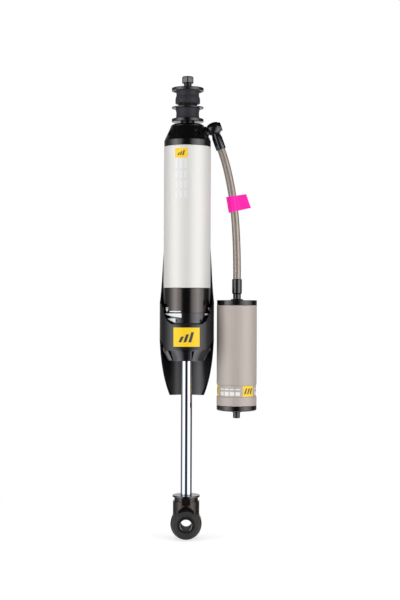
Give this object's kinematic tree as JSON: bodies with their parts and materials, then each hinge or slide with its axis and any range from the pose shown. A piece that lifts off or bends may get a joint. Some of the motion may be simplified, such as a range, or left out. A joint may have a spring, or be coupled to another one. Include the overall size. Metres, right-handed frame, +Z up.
{
  "type": "rear shock absorber",
  "caption": "Shock absorber with a pin top mount, an eye lower mount, a stone guard, adjuster collars and a remote reservoir on a braided hose.",
  "frame": {"origin": "centre of the lower eye's bolt hole, on its axis and in the middle of its length", "axes": "+Z up the rod towards the top stud, +X towards the remote reservoir, -Y the front with the badges, and the lower bolt along Y"},
  "size_m": [0.1555, 0.0871, 0.7392],
  "materials": {
    "silver_body": "satin silver paint",
    "grey_reservoir": "warm grey satin paint",
    "black_anodised": "gloss black anodised, turned",
    "black_steel": "black plate, satin",
    "black_rubber": "matte",
    "hard_chrome": "polished",
    "steel": "zinc plate, satin",
    "bronze": "satin",
    "braid": "woven steel braid under a clear sleeve",
    "pink_tape": "fluorescent pink tape",
    "yellow_print": "printed film",
    "guard_plastic": "satin moulded black"
  },
  "bodies": {
    "damper_body": {"gland_nut": "black_anodised", "rod_wiper": "black_rubber", "rod_seal": "black_rubber", "rod_guide": "silver_body", "guide_bearing": "bronze", "guide_seal": "black_rubber", "lower_housing": "black_anodised", "inner_cylinder": "steel", "adjuster_sleeve": "black_anodised", "body_tube": "silver_body", "body_badge": "yellow_print", "top_cap": "black_anodised", "top_cap_seal": "black_rubber", "top_stud": "black_steel", "lower_washer": "black_steel", "lower_bush": "black_rubber", "flat_washer": "black_steel", "upper_bush": "black_rubber", "upper_washer": "black_steel", "top_nut": "black_steel", "banjo_bolt": "black_anodised", "banjo_fitting": "black_anodised", "banjo_washers": "bronze", "upper_ferrule": "black_anodised", "hose": "braid", "hose_tag": "pink_tape", "lower_ferrule": "black_anodised", "reservoir_fitting": "black_anodised", "reservoir_tube": "grey_reservoir", "reservoir_top_cap": "black_anodised", "reservoir_bottom_cap": "black_anodised", "reservoir_seals": "black_rubber", "reservoir_label": "yellow_print", "gas_valve": "steel", "valve_cap": "black_anodised"},
    "rod": {"lower_eye": "black_steel", "eye_bush": "black_rubber", "eye_sleeve": "steel", "rod_collar": "black_steel", "piston_rod": "hard_chrome", "top_out_bumper": "black_rubber", "rebound_shims": "steel", "piston": "steel", "piston_band": "bronze", "compression_shims": "steel", "piston_nut": "steel"},
    "compression_ring": {"compression_adjuster": "black_anodised"},
    "rebound_ring": {"rebound_adjuster": "black_anodised"},
    "guard": {"guard_yoke": "guard_plastic", "guard_shield": "guard_plastic", "guard_screws": "steel", "guard_badge": "yellow_print"},
    "float": {"floating_piston": "silver_body", "floating_piston_seal": "black_rubber"}
  },
  "joints": [
    {"name": "rod_travel", "type": "slide", "parent": "damper_body", "child": "rod", "axis": [0, 0, 1], "range_m": [0, 0.2]},
    {"name": "floating_piston_travel", "type": "slide", "parent": "damper_body", "child": "float", "axis": [0, 0, -1], "range_m": [0, 0.0207]},
    {"name": "compression_adjust", "type": "hinge", "parent": "damper_body", "child": "compression_ring", "pos_m": [0, 0, 0.3245], "axis": [0, 0, 1], "range_deg": [0, 100]},
    {"name": "rebound_adjust", "type": "hinge", "parent": "damper_body", "child": "rebound_ring", "pos_m": [0, 0, 0.3324], "axis": [0, 0, 1], "range_deg": [0, 100]},
    {"name": "guard_turn", "type": "hinge", "parent": "damper_body", "child": "guard", "pos_m": [0, 0, 0.3009], "axis": [0, 0, 1], "continuous": true}
  ],
  "couplings": [
    {"joint": "floating_piston_travel", "follows": "rod_travel", "ratio": 0.1033}
  ]
}
